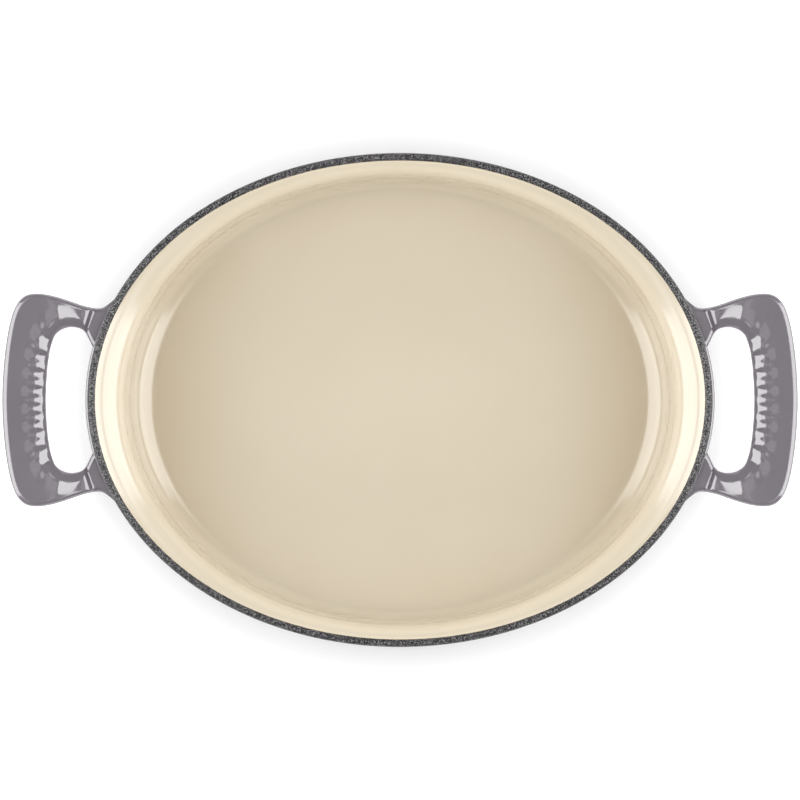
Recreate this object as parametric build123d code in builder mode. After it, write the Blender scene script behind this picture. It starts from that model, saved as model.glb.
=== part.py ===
"""An oval gratin dish: one iron casting with two loop handles, and the enamel coats fired on it.

Millimetres. +X runs along the dish to the right-hand handle, +Y across it and +Z up.
The origin is the middle of the dish, on the surface that it stands on.
"""

import os
from math import atan, cos, degrees, radians, sin, tan

from build123d import *

# Overall sizes of the finished dish
rim_length = 281.0
rim_width = 222.0
dish_height = 46.0

# The metal, each coat of enamel, and the round bead along the rim
iron_wall = 3.0
coat = 0.5
bead_radius = 1.8

# The cooking face at the ends of the dish, from the bead down to the floor, in degrees from level
bead_turn = 55.0
lip_reach = 2.6
lip_turn = 5.0
shoulder_radius = 11.0
wall_turn = 86.0
corner_radius = 11.0

# The reach of the cooking face at the long sides, as shares of its reach at the ends
lip_side_share = 0.65
wall_side_share = 0.44

# How finely each curve of the wall is stepped
bead_steps = 6
lip_steps = 6
shoulder_steps = 10
corner_steps = 10
crest_turn = 6.0

# The foot ring that the dish stands on
foot_height = 1.0
foot_ring = 8.0
foot_setback = 3.0
recess_depth = 0.7

# The colour coats stop short of the crest of the bead, and the black coat shows there
black_inside = 1.0
black_outside = 1.9

# The loop handles: a low shelf by the wall, sloping arms and a level grip
handle_reach = 38.45
handle_half_width = 48.9
shelf_drop = 5.6
root_thickness = 10.2
grip_drop = 0.6
grip_thickness = 9.0
edge_round = 2.4
finger_round = 6.0

# Sections along half of a handle, from inside the wall to the middle of the grip.
# Each has the two ends of the section, on the hole's side and on the outer side, as shares
# of the handle's reach past the rim and of its half width, and then the share of the way
# from shelf to grip, and from the plain edge to the finger edge.
loop_shares = (
    (-0.474, 0.344, -0.711, 0.893, 0.00, 0.00),
    (-0.316, 0.367, -0.545, 0.888, 0.00, 0.00),
    (-0.171, 0.409, -0.384, 0.885, 0.00, 0.00),
    (-0.057, 0.485, -0.240, 0.874, 0.00, 0.00),
    (0.021, 0.600, -0.109, 0.847, 0.00, 0.05),
    (0.081, 0.653, 0.050, 0.868, 0.42, 0.25),
    (0.172, 0.671, 0.195, 0.907, 0.64, 0.55),
    (0.270, 0.662, 0.408, 0.960, 0.87, 0.85),
    (0.364, 0.618, 0.690, 0.972, 0.98, 1.00),
    (0.419, 0.542, 0.866, 0.820, 1.00, 1.00),
    (0.460, 0.407, 0.952, 0.526, 1.00, 1.00),
    (0.487, 0.209, 0.988, 0.251, 1.00, 1.00),
    (0.497, 0.000, 1.000, 0.000, 1.00, 1.00),
)

# The finger ribs across the inner edge of each grip
grip_bow = 143.0
rib_pitch = 7.45
rib_count = 10
rib_hollow = 12.0
rib_sink = 0.58
rib_slant = 45.0

# One overrun serves every cut and every clipping solid
overrun = 5.0

# Sizes that follow from the ones above
wall_total = iron_wall + 2 * coat
half_length = rim_length / 2
half_width = rim_width / 2
bead_level = dish_height - bead_radius
bead_edge = bead_radius * (1 + sin(radians(bead_turn)))
floor_level = foot_height + wall_total
iron_underside = foot_height + coat
lip_radius = lip_reach / (sin(radians(bead_turn)) - sin(radians(lip_turn)))
handle_end = half_length + handle_reach
bow_centre = handle_end - grip_bow
grip_inner_bow = half_length + handle_reach * loop_shares[-1][0] - bow_centre


class Station:
    """One oval section of the cooking face: its reach in from the rim, its level and its slope."""

    def __init__(self, reach, level, turn):
        self.reach = reach
        self.level = level
        self.turn = radians(turn)

    def side_share(self):
        """How the reach at the long sides grows with the reach at the ends, at this section."""
        if self.reach <= bead_edge:
            return 1.0
        return lip_side_share if self.reach < bead_edge + lip_reach else wall_side_share

    def side_reach(self):
        """The reach of this section at the long sides."""
        lip_part = min(max(self.reach - bead_edge, 0), lip_reach)
        wall_part = max(self.reach - bead_edge - lip_reach, 0)
        return min(self.reach, bead_edge) + lip_side_share * lip_part + wall_side_share * wall_part

    def below(self, depth):
        """The half axes and the level of the oval that lies this deep in the metal, square to the face."""
        side_turn = atan(tan(self.turn) / self.side_share())
        side_shift = 0.0
        if self.turn > 0:
            side_shift = depth * (1 - cos(self.turn) * cos(side_turn)) / sin(side_turn)
        half_x = half_length - self.reach + depth * sin(self.turn)
        half_y = half_width - self.side_reach() + side_shift
        return half_x, half_y, self.level - depth * cos(self.turn)


def stepped(first, last, steps):
    """Turns from the first to the last in even steps, the first left out."""
    return [first + (last - first) * step / steps for step in range(1, steps + 1)]


def arc_stations(start, radius, first, last, steps):
    """Stations along one arc of the cooking face: it bulges where it steepens, else it is hollow."""
    swing = 1 if last > first else -1
    found = []
    for turn in stepped(first, last, steps):
        run = swing * radius * (sin(radians(turn)) - sin(radians(first)))
        fall = swing * radius * (cos(radians(first)) - cos(radians(turn)))
        found.append(Station(start.reach + run, start.level - fall, turn))
    return found


def cooking_face():
    """Stations of the finished cooking face, from the bead down to the floor."""
    bead = Station(bead_edge, bead_level + bead_radius * cos(radians(bead_turn)), bead_turn)
    lip = arc_stations(bead, lip_radius, bead_turn, lip_turn, lip_steps)
    shoulder = arc_stations(lip[-1], shoulder_radius, lip_turn, wall_turn, shoulder_steps)
    corner_level = floor_level + corner_radius * (1 - cos(radians(wall_turn)))
    wall_run = (shoulder[-1].level - corner_level) / tan(radians(wall_turn))
    wall_foot = Station(shoulder[-1].reach + wall_run, corner_level, wall_turn)
    corner = arc_stations(wall_foot, corner_radius, wall_turn, 0, corner_steps)
    return [bead] + lip + shoulder + [wall_foot] + corner


def bead_ovals(radius, turns, side):
    """Ovals on one side of the bead: 1 is the side towards the food and -1 is the outside."""
    found = []
    for turn in turns:
        reach = bead_radius + side * radius * sin(radians(turn))
        level = bead_level + radius * cos(radians(turn))
        found.append((half_length - reach, half_width - reach, level))
    return found


def foot_ovals(shrink):
    """Half axes of the foot ring's outer and inner edges, drawn together by this much."""
    floor = cooking_face()[-1]
    foot_x = half_length - floor.reach - foot_setback
    foot_y = half_width - floor.side_reach() - foot_setback
    outer = (foot_x - shrink, foot_y - shrink)
    inner = (foot_x - foot_ring + shrink, foot_y - foot_ring + shrink)
    return outer, inner


def hollow_form(depth):
    """The space in the dish down to this depth in its wall, with a plug that stands above the rim."""
    ovals = [station.below(depth) for station in reversed(cooking_face())]
    ovals += bead_ovals(bead_radius - depth, stepped(bead_turn, crest_turn, bead_steps), side=1)
    with BuildPart() as hollow:
        for half_x, half_y, level in ovals:
            with BuildSketch(Plane.XY.offset(level)):
                Ellipse(half_x, half_y)
        loft(ruled=True)
        top_x, top_y, top_level = ovals[-1]
        with BuildSketch(Plane.XY.offset(top_level)):
            Ellipse(top_x, top_y)
        extrude(amount=overrun)
    return hollow.part


def bowl_form(inset):
    """The outer form of the bowl and its foot, drawn in by the thickness of a coat or by nothing."""
    ovals = [station.below(wall_total - inset) for station in reversed(cooking_face())]
    ovals += bead_ovals(bead_radius - inset, [90] + stepped(90, crest_turn, bead_steps), side=-1)
    outer, inner = foot_ovals(inset)
    with BuildPart() as bowl:
        for half_x, half_y, level in ovals:
            with BuildSketch(Plane.XY.offset(level)):
                Ellipse(half_x, half_y)
        loft(ruled=True)
        with BuildSketch(Plane.XY.offset(inset)):
            Ellipse(*outer)
        extrude(amount=foot_height + coat)
        with BuildSketch(Plane.XY.offset(inset - overrun)):
            Ellipse(*inner)
        extrude(amount=recess_depth + overrun, mode=Mode.SUBTRACT)
    return bowl.part


def loop_section(shares, side, inset):
    """One rounded section across a handle, on this side of the dish, drawn in by the inset."""
    hole_x, hole_y, outer_x, outer_y, rise, finger = shares
    hole = Vector(half_length + handle_reach * hole_x, side * handle_half_width * hole_y)
    outer = Vector(half_length + handle_reach * outer_x, side * handle_half_width * outer_y)
    top = dish_height - shelf_drop + rise * (shelf_drop - grip_drop)
    thickness = root_thickness + rise * (grip_thickness - root_thickness)
    across = outer - hole
    middle = (outer + hole) * 0.5 + Vector(0, 0, top - thickness / 2)
    with BuildSketch(Plane(middle, x_dir=across, z_dir=across.cross(Vector(0, 0, 1)))) as section:
        Rectangle(across.length - 2 * inset, thickness - 2 * inset)
        corners = section.vertices().sort_by(Axis.Y)
        finger_corner = corners[2:].sort_by(Axis.X)[0]
        fillet(corners.filter_by(lambda corner: corner is not finger_corner), edge_round - inset)
        edge = edge_round + finger * (finger_round - edge_round) - inset
        sharp = section.vertices().filter_by(lambda corner: corner.distance_to(finger_corner) < coat / 2)
        fillet(sharp, edge)
    return section.sketch


def handle_form(inset):
    """The right-hand loop handle with its finger ribs, drawn in by the inset."""
    sections = [loop_section(shares, 1, inset) for shares in loop_shares]
    sections += [loop_section(shares, -1, inset) for shares in reversed(loop_shares[:-1])]
    hollow = rib_hollow + inset
    rib_step = degrees(rib_pitch / grip_inner_bow)
    rib_span = rib_step * (rib_count - 1)
    edge_shift = finger_round * (1 - cos(radians(rib_slant)))
    rib_lift = (rib_hollow - rib_sink) * cos(radians(rib_slant))
    rib_radius = grip_inner_bow + edge_shift - rib_lift
    rib_level = dish_height - grip_drop - edge_shift + rib_lift
    with BuildPart() as handle:
        loft(sections)
        with Locations((bow_centre, 0, rib_level)):
            with PolarLocations(rib_radius, rib_count, -rib_span / 2, rib_span, endpoint=True):
                Cylinder(hollow, 2 * finger_round, rotation=(0, rib_slant, 0), mode=Mode.SUBTRACT)
    return handle.part


def dish_form(inset):
    """The whole outer form of bowl and handles, drawn in by the inset, with no hollow in it yet."""
    handle = handle_form(inset)
    with BuildPart() as form:
        add(bowl_form(inset))
        add(handle)
        add(handle.mirror(Plane.YZ))
    return form.part


os.makedirs("parts", exist_ok=True)

# The casting: bowl, foot ring and both handles are poured as one piece of iron
with BuildPart() as iron_casting:
    add(dish_form(coat))
    add(hollow_form(coat), mode=Mode.SUBTRACT)
iron_casting.part.label = "iron_casting"
export_step(iron_casting.part, "parts/iron_casting.step")

# The sand-coloured coat on the cooking face, up to the foot of the bead
with BuildPart() as interior_enamel:
    add(hollow_form(coat))
    add(hollow_form(0), mode=Mode.SUBTRACT)
    with BuildSketch():
        Ellipse(half_length, half_width)
    extrude(amount=dish_height - black_inside, mode=Mode.INTERSECT)
interior_enamel.part.label = "interior_enamel"
export_step(interior_enamel.part, "parts/interior_enamel.step")

# The coats over the bead, the outside and the base as one skin, which the next three are cut from
with BuildPart() as outer_skin:
    add(dish_form(0))
    add([iron_casting.part, hollow_form(0), interior_enamel.part], mode=Mode.SUBTRACT)

# Where that skin is black: all that stands above the grey coat, and all within the foot ring
with BuildPart() as rim_zone:
    with BuildSketch(Plane.XY.offset(dish_height - black_outside)):
        Ellipse(half_length + coat, half_width + coat)
    extrude(amount=black_outside + overrun)
with BuildPart() as base_zone:
    with BuildSketch(Plane.XY.offset(-overrun)):
        Ellipse(*foot_ovals(0)[0])
    extrude(amount=iron_underside + overrun)

# The matte black coat over the bead
with BuildPart() as rim_enamel:
    add(outer_skin.part)
    add(rim_zone.part, mode=Mode.INTERSECT)
rim_enamel.part.label = "rim_enamel"
export_step(rim_enamel.part, "parts/rim_enamel.step")

# The black coat under the foot ring and in the recess that it surrounds
with BuildPart() as base_enamel:
    add(outer_skin.part)
    add(base_zone.part, mode=Mode.INTERSECT)
base_enamel.part.label = "base_enamel"
export_step(base_enamel.part, "parts/base_enamel.step")

# The grey coat on the outside of the bowl and all round both handles
with BuildPart() as exterior_enamel:
    add(outer_skin.part)
    add([rim_zone.part, base_zone.part], mode=Mode.SUBTRACT)
exterior_enamel.part.label = "exterior_enamel"
export_step(exterior_enamel.part, "parts/exterior_enamel.step")
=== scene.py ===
"""An oval gratin dish in enamelled cast iron: its coats, its loop handles and its studio.

Everything is in metres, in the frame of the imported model: +X to the right-hand handle, +Z up.
Turns and bearings are in degrees where nothing else is said.
"""

import logging
import math
from dataclasses import dataclass, field
from enum import Enum

import bpy
import numpy as np
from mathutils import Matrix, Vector
from mathutils.bvhtree import BVHTree


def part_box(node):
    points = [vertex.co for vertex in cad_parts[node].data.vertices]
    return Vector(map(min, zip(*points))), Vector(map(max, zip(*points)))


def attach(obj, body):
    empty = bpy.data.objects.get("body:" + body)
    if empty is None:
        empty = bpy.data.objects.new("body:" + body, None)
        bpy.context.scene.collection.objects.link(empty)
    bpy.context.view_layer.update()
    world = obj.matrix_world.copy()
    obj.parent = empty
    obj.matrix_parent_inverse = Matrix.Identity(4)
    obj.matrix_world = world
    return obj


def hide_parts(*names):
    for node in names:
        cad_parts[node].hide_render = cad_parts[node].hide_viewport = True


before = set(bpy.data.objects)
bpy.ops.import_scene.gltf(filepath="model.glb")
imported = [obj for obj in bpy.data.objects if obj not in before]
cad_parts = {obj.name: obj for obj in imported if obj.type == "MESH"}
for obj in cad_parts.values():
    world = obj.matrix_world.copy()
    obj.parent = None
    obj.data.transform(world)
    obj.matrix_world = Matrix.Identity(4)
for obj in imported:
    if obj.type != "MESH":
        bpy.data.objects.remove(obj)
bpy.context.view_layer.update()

MM = 0.001
BODY = "root"
BLACK = (0.0, 0.0, 0.0, 1.0)
WHITE = (1.0, 1.0, 1.0, 1.0)
SHARP_TURN = 50.0
FEWEST_ROWS = 8
KERNEL_WIDTHS = 3
LEVEL_TURN = 1e-6
log = logging.getLogger("gratin_dish")


class Zone(Enum):
    """The zones of the dish that each have a coat, by the CAD node that they stand for."""

    INSIDE = "interior_enamel"
    RIM = "rim_enamel"
    OUTSIDE = "exterior_enamel"
    BASE = "base_enamel"


class Side(Enum):
    """The two ends of the dish, as the sign of X there."""

    LEFT = -1
    RIGHT = 1


def ease(value: np.ndarray, low: float, high: float) -> np.ndarray:
    """Rise smoothly from 0 at low to 1 at high.

    Args:
        value: The numbers to ease.
        low: Where the result is still 0.
        high: Where the result becomes 1.

    Returns:
        Numbers from 0 to 1, one for each value.
    """
    share = np.clip((value - low) / (high - low), 0.0, 1.0)
    return share * share * (3.0 - 2.0 * share)


def soften(rings: np.ndarray, spacing: float, width: float) -> np.ndarray:
    """Space a profile evenly along its length and round its corners, with both ends kept.

    Args:
        rings: Rows of half length, half width and level.
        spacing: Distance between the new rows.
        width: How far along the profile each corner is rounded.

    Returns:
        The new rows.
    """
    steps = np.linalg.norm(np.diff(rings[:, (0, 2)], axis=0), axis=1)
    along = np.concatenate(([0.0], np.cumsum(steps)))
    even = np.linspace(0.0, along[-1], max(FEWEST_ROWS, round(along[-1] / spacing)))
    rings = np.column_stack([np.interp(even, along, column) for column in rings.T])
    margin = max(1, round(KERNEL_WIDTHS * width / spacing))
    kernel = np.exp(-0.5 * (np.arange(-margin, margin + 1) * spacing / width) ** 2)
    kernel = kernel / kernel.sum()
    before = 2 * rings[0] - rings[margin:0:-1]
    after = 2 * rings[-1] - rings[-2 : -margin - 2 : -1]
    padded = np.concatenate((before, rings, after))
    return np.column_stack([np.convolve(column, kernel, "valid") for column in padded.T])


def cut_at(rings: np.ndarray, level: float) -> int:
    """Number of the first row at or below a level."""
    return int(np.argmax(rings[:, 2] <= level))


def at_level(rings: np.ndarray, level: float) -> np.ndarray:
    """Find the row at a level, between the two rows that it lies between.

    Args:
        rings: Rows of half length, half width and level, from the top down.
        level: The level of the row that is wanted.

    Returns:
        That row.
    """
    number = cut_at(rings, level)
    above, below = rings[number - 1], rings[number]
    share = (above[2] - level) / (above[2] - below[2])
    return above + (below - above) * share


def band_faces(rings: int, around: int, wrap: bool = False) -> list[tuple[int, ...]]:
    """Join each ring of points to the next by four-sided faces.

    Args:
        rings: How many rings there are.
        around: How many points each ring has.
        wrap: True if the last ring is joined to the first one.

    Returns:
        Vertex numbers of each face.
    """
    faces = []
    for ring in range(rings if wrap else rings - 1):
        low, high = ring * around, (ring + 1) % rings * around
        for number in range(around):
            after = (number + 1) % around
            faces.append((low + number, low + after, high + after, high + number))
    return faces


def capped_faces(rings: int, around: int) -> list[tuple[int, ...]]:
    """Faces of a run of rings that is closed flat at both ends."""
    last = (rings - 1) * around
    caps = [tuple(range(around))[::-1], tuple(range(last, last + around))]
    return band_faces(rings, around) + caps


def turned(faces: list[tuple[int, ...]]) -> list[tuple[int, ...]]:
    """The same faces with their other side out."""
    return [face[::-1] for face in faces]


def make_mesh(name: str, points: np.ndarray, faces: list[tuple[int, ...]]) -> bpy.types.Object:
    """Make a smooth-shaded mesh object, with its sharp edges marked.

    Args:
        name: Name of the object and of its mesh.
        points: One row of X, Y and Z for each vertex.
        faces: Vertex numbers of each face, anticlockwise as seen from outside.

    Returns:
        The linked object.
    """
    mesh = bpy.data.meshes.new(name)
    mesh.from_pydata([tuple(row) for row in points], [], faces)
    mesh.validate()
    mesh.shade_smooth()
    mesh.set_sharp_from_angle(angle=math.radians(SHARP_TURN))
    piece = bpy.data.objects.new(name, mesh)
    bpy.context.scene.collection.objects.link(piece)
    return piece


def closest(tree: BVHTree, points: np.ndarray, limit: float) -> tuple[np.ndarray, np.ndarray]:
    """Measure how far points stand off a surface.

    Args:
        tree: The surface, with its normals outwards.
        points: Rows of X, Y and Z.
        limit: The largest distance that matters.

    Returns:
        The distance of each point, negative for one inside, and the surface's normal there.
    """
    distances = np.full(len(points), limit)
    normals = np.zeros((len(points), 3))
    for number, point in enumerate(points):
        place, normal, _, distance = tree.find_nearest(Vector(point), limit)
        if place is None:
            continue
        outside = (Vector(point) - place).dot(normal) > 0
        distances[number] = distance if outside else -distance
        normals[number] = normal
    return distances, normals


@dataclass(frozen=True)
class DishSizes:
    """Sizes of the finished dish. The first five are read from the frame.

    A turn is how steep a face is, from 0 where it is level to 90 where it is upright. The side
    shares say how much less the inside draws in at the long sides than at the two ends.
    """

    half_length: float
    half_width: float
    floor_level: float
    handle_end: float
    crest_level: float
    wall: float = 4.0 * MM
    coat: float = 0.5 * MM
    bead_radius: float = 1.8 * MM
    bead_turn: float = 55.0
    lip_reach: float = 2.6 * MM
    lip_turn: float = 7.5
    shoulder_radius: float = 11.5 * MM
    wall_turn: float = 86.0
    corner_radius: float = 11.0 * MM
    lip_side_share: float = 0.57
    wall_side_share: float = 0.44
    share_blend: float = 1.0 * MM
    foot_height: float = 1.0 * MM
    foot_ring: float = 8.0 * MM
    foot_setback: float = 3.0 * MM
    recess_depth: float = 0.7 * MM
    black_inside: float = 1.0 * MM
    black_outside: float = 1.9 * MM

    @classmethod
    def from_frame(cls) -> "DishSizes":
        """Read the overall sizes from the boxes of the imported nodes.

        Returns:
            All the sizes of the dish.
        """
        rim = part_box("rim_enamel")[1]
        return cls(
            half_length=rim.x,
            half_width=rim.y,
            floor_level=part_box("interior_enamel")[0].z + cls.coat,
            handle_end=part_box("exterior_enamel")[1].x,
            crest_level=rim.z,
        )

    @property
    def bead_level(self) -> float:
        """Level of the middle of the bead."""
        return self.crest_level - self.bead_radius

    @property
    def bead_edge(self) -> float:
        """Reach from the rim's outer edge to where the bead runs into the lip."""
        return self.bead_radius * (1 + math.sin(math.radians(self.bead_turn)))

    @property
    def lip_radius(self) -> float:
        """Radius of the small hollow between the bead and the shoulder."""
        rise = math.sin(math.radians(self.bead_turn)) - math.sin(math.radians(self.lip_turn))
        return self.lip_reach / rise

    @property
    def sand_border(self) -> float:
        """Level inside the dish where the sand coat gives way to the black one."""
        return self.crest_level - self.black_inside

    @property
    def grey_border(self) -> float:
        """Level outside the dish where the grey coat gives way to the black one."""
        return self.crest_level - self.black_outside


@dataclass
class CookingFace:
    """The finished cooking face, followed at an end of the dish from the bead to the floor.

    Each row of the trace holds the reach in from the rim, the level, the turn in radians, the
    reach at the long sides and the share by which that one grows.
    """

    sizes: DishSizes
    lip_steps: int = 18
    shoulder_steps: int = 30
    wall_steps: int = 24
    corner_steps: int = 32
    share_steps: int = 2000
    trace: np.ndarray = field(init=False)

    def __post_init__(self) -> None:
        """Trace the face in fine steps."""
        sizes = self.sizes
        turn = math.radians(sizes.bead_turn)
        top = sizes.bead_level + sizes.bead_radius * math.cos(turn)
        start = np.array([[sizes.bead_edge, top, turn]])
        lip = self._arc(
            start[-1], sizes.lip_radius, sizes.bead_turn, sizes.lip_turn, self.lip_steps
        )
        shoulder = self._arc(
            lip[-1], sizes.shoulder_radius, sizes.lip_turn, sizes.wall_turn, self.shoulder_steps
        )
        wall = self._wall(shoulder[-1])
        corner = self._arc(
            wall[-1], sizes.corner_radius, sizes.wall_turn, 0.0, self.corner_steps
        )
        rows = np.concatenate((start, lip, shoulder, wall, corner))
        shares = self._share(rows[:, 0])
        self.trace = np.column_stack((rows, self._side_reach(rows[:, 0]), shares))

    @staticmethod
    def _arc(start: np.ndarray, radius: float, first: float, last: float, steps: int) -> np.ndarray:
        """Follow an arc, which bulges where it steepens and is hollow where it doesn't.

        Args:
            start: The row that the arc goes on from.
            radius: Radius of the arc.
            first: Turn where it begins.
            last: Turn where it ends.
            steps: How many rows it has.

        Returns:
            Rows of reach, level and turn in radians.
        """
        turns = np.radians(np.linspace(first, last, steps + 1)[1:])
        begin = math.radians(first)
        swing = 1.0 if last > first else -1.0
        run = swing * radius * (np.sin(turns) - math.sin(begin))
        fall = swing * radius * (math.cos(begin) - np.cos(turns))
        return np.column_stack((start[0] + run, start[1] - fall, turns))

    def _wall(self, start: np.ndarray) -> np.ndarray:
        """Follow the straight wall down to where the round corner begins.

        Args:
            start: The row that the wall goes on from.

        Returns:
            Rows of reach, level and turn in radians.
        """
        turn = math.radians(self.sizes.wall_turn)
        foot = self.sizes.floor_level + self.sizes.corner_radius * (1 - math.cos(turn))
        levels = np.linspace(start[1], foot, self.wall_steps + 1)[1:]
        reach = start[0] + (start[1] - levels) / math.tan(turn)
        return np.column_stack((reach, levels, np.full(self.wall_steps, turn)))

    def _share(self, reach: np.ndarray) -> np.ndarray:
        """Work out how the reach at the long sides grows with the reach at the ends.

        Args:
            reach: Reach in from the rim, at the ends.

        Returns:
            The growth at the long sides for a growth of 1 at the ends.
        """
        sizes = self.sizes
        lip_end = sizes.bead_edge + sizes.lip_reach
        to_lip = ease(reach, sizes.bead_edge, sizes.bead_edge + sizes.share_blend)
        to_wall = ease(reach, lip_end - sizes.share_blend / 2, lip_end + sizes.share_blend / 2)
        lip_share = 1 + (sizes.lip_side_share - 1) * to_lip
        return lip_share + (sizes.wall_side_share - sizes.lip_side_share) * to_wall

    def _side_reach(self, reach: np.ndarray) -> np.ndarray:
        """Add up the shares from the bead inwards.

        Args:
            reach: Reach in from the rim, at the ends.

        Returns:
            Reach in from the rim at the long sides.
        """
        fine = np.linspace(self.sizes.bead_edge, reach.max(), self.share_steps)
        shares = self._share(fine)
        grown = np.cumsum((shares[1:] + shares[:-1]) / 2 * np.diff(fine))
        return self.sizes.bead_edge + np.interp(reach, fine, np.concatenate(([0.0], grown)))

    def ovals(self, depth: float) -> np.ndarray:
        """Set the face back into the metal, square to itself.

        Args:
            depth: How deep in the metal.

        Returns:
            Ovals from the bead to the floor: rows of half length, half width and level.
        """
        reach, level, turn, side_reach, share = self.trace.T
        side_turn = np.arctan(np.tan(turn) / share)
        shift = np.zeros_like(turn)
        sloped = turn > LEVEL_TURN
        lost = 1 - np.cos(turn[sloped]) * np.cos(side_turn[sloped])
        shift[sloped] = depth * lost / np.sin(side_turn[sloped])
        half_x = self.sizes.half_length - reach + depth * np.sin(turn)
        half_y = self.sizes.half_width - side_reach + shift
        return np.column_stack((half_x, half_y, level - depth * np.cos(turn)))

    def bead(self, radius: float, first: float, last: float, steps: int) -> np.ndarray:
        """Go round the bead between two turns from its crest, the inside positive.

        Args:
            radius: Radius of the bead, or of a layer in it.
            first: Turn where it begins.
            last: Turn where it ends.
            steps: How many steps it takes.

        Returns:
            Rows of half length, half width and level.
        """
        turns = np.radians(np.linspace(first, last, steps + 1))
        reach = self.sizes.bead_radius + radius * np.sin(turns)
        level = self.sizes.bead_level + radius * np.cos(turns)
        half_x, half_y = self.sizes.half_length - reach, self.sizes.half_width - reach
        return np.column_stack((half_x, half_y, level))


@dataclass
class Bowl:
    """The bowl of the dish: one closed shell for each coat.

    Every shell has a seen and a hidden profile. The hidden one lies in the coat's depth and has
    its own, wider spacing.
    """

    sizes: DishSizes
    spokes: int = 512
    end_crowding: float = 0.25
    face_spacing: float = 0.5 * MM
    wall_spacing: float = 0.35 * MM
    base_spacing: float = 0.2 * MM
    hidden_spacing: float = 1.2 * MM
    face_softness: float = 0.3 * MM
    wall_softness: float = 0.5 * MM
    base_softness: float = 0.15 * MM
    crown_lap: float = 4.0
    crown_steps: int = 30
    recess_margin: float = 3.0 * MM
    floor_shares: tuple[float, ...] = (0.985, 0.96, 0.92, 0.86, 0.77, 0.66, 0.52, 0.37, 0.22, 0.08)
    face: CookingFace = field(init=False)

    def __post_init__(self) -> None:
        """Trace the cooking face that every coat follows."""
        self.face = CookingFace(self.sizes)

    def spread(self, rings: np.ndarray) -> np.ndarray:
        """Place points round each oval, crowded towards the two ends, where the handles are.

        Args:
            rings: Rows of half length, half width and level.

        Returns:
            Rows of X, Y and Z, one oval after the other.
        """
        turn = np.linspace(0.0, 2 * math.pi, self.spokes, endpoint=False)
        turn = turn - self.end_crowding * np.sin(2 * turn)
        around = np.stack((np.cos(turn), np.sin(turn), np.ones_like(turn)), axis=1)
        return (rings[:, None, :] * around[None, :, :]).reshape(-1, 3)

    def shell(
        self,
        name: str,
        front: np.ndarray,
        back: np.ndarray,
        poled: bool = False,
        hollow: bool = False,
    ) -> bpy.types.Object:
        """Make a closed shell from its seen and its hidden profile.

        Args:
            name: Name of the object.
            front: Rows of half length, half width and level along the seen face.
            back: Rows along the hidden face, in the same order.
            poled: True if both profiles end at the middle of the dish, where they are closed.
            hollow: True if the seen face is the one towards the middle of the dish.

        Returns:
            The object.
        """
        rings = np.concatenate((front[::-1], back))
        points = self.spread(rings)
        faces = band_faces(len(rings), self.spokes, wrap=not poled)
        if poled:
            poles = np.array(((0.0, 0.0, front[-1][2]), (0.0, 0.0, back[-1][2])))
            pole = len(points)
            points = np.concatenate((points, poles))
            end = (len(rings) - 1) * self.spokes
            for spoke in range(self.spokes):
                after = (spoke + 1) % self.spokes
                faces.append((after, spoke, pole))
                faces.append((end + spoke, end + after, pole + 1))
        return make_mesh(name, points, turned(faces) if hollow else faces)

    def to_middle(self, edge: np.ndarray) -> np.ndarray:
        """Ovals from an edge inwards over a flat floor."""
        shares = np.array(self.floor_shares)[:, None]
        return np.column_stack((edge[None, :2] * shares, np.full(len(shares), edge[2])))

    def inside_rings(self, depth: float, spacing: float) -> np.ndarray:
        """Follow the cooking face, or the iron under it, from the black border to the middle.

        Args:
            depth: How deep in the metal.
            spacing: Distance between the ovals.

        Returns:
            Rows of half length, half width and level.
        """
        border = self.sizes.sand_border
        rings = self.face.ovals(depth)
        wall = np.concatenate((at_level(rings, border)[None], rings[cut_at(rings, border) :]))
        wall = soften(wall, spacing, self.face_softness)
        return np.concatenate((wall, self.to_middle(wall[-1])))

    def rim_rings(self, depth: float) -> np.ndarray:
        """Go over the bead, from the sand coat's border to the grey coat's border.

        Args:
            depth: How deep in the metal.

        Returns:
            Rows of half length, half width and level.
        """
        sizes = self.sizes
        lip = self.face.ovals(depth)
        inner = at_level(lip, sizes.sand_border)
        inner_part = np.concatenate((inner[None], lip[: cut_at(lip, inner[2])][::-1]))
        crown = self.face.bead(
            sizes.bead_radius - depth, sizes.bead_turn - self.crown_lap, -90, self.crown_steps
        )
        outer = crown[-1].copy()
        outer[2] = sizes.grey_border
        return np.concatenate((inner_part, crown, outer[None]))

    def outside_rings(self, depth: float, spacing: float) -> np.ndarray:
        """Follow the outside from under the bead round to the foot ring.

        Args:
            depth: How deep in the metal.
            spacing: Distance between the ovals.

        Returns:
            Rows of half length, half width and level.
        """
        sizes = self.sizes
        flank = self.face.ovals(sizes.wall - depth)
        top = np.array((sizes.half_length - depth, sizes.half_width - depth, sizes.grey_border))
        foot = flank[-1].copy()
        foot[:2] -= sizes.foot_setback
        profile = np.concatenate((top[None], flank, foot[None]))
        return soften(profile, spacing, self.wall_softness)

    def base_rings(self, depth: float) -> np.ndarray:
        """Follow the underside from the foot ring's outer edge to the middle of the recess.

        Args:
            depth: How deep in the metal.

        Returns:
            Rows of half length, half width and level.
        """
        sizes = self.sizes
        outer = self.face.ovals(sizes.wall)[-1][:2] - sizes.foot_setback - depth
        inner = outer - sizes.foot_ring + 2 * depth
        recess = sizes.recess_depth + depth
        rows = (
            (*outer, sizes.foot_height),
            (*outer, depth),
            (*inner, depth),
            (*inner, recess),
            (*(inner - self.recess_margin), recess),
        )
        edge = soften(np.array(rows), self.base_spacing, self.base_softness)
        return np.concatenate((edge, self.to_middle(edge[-1])))

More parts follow.
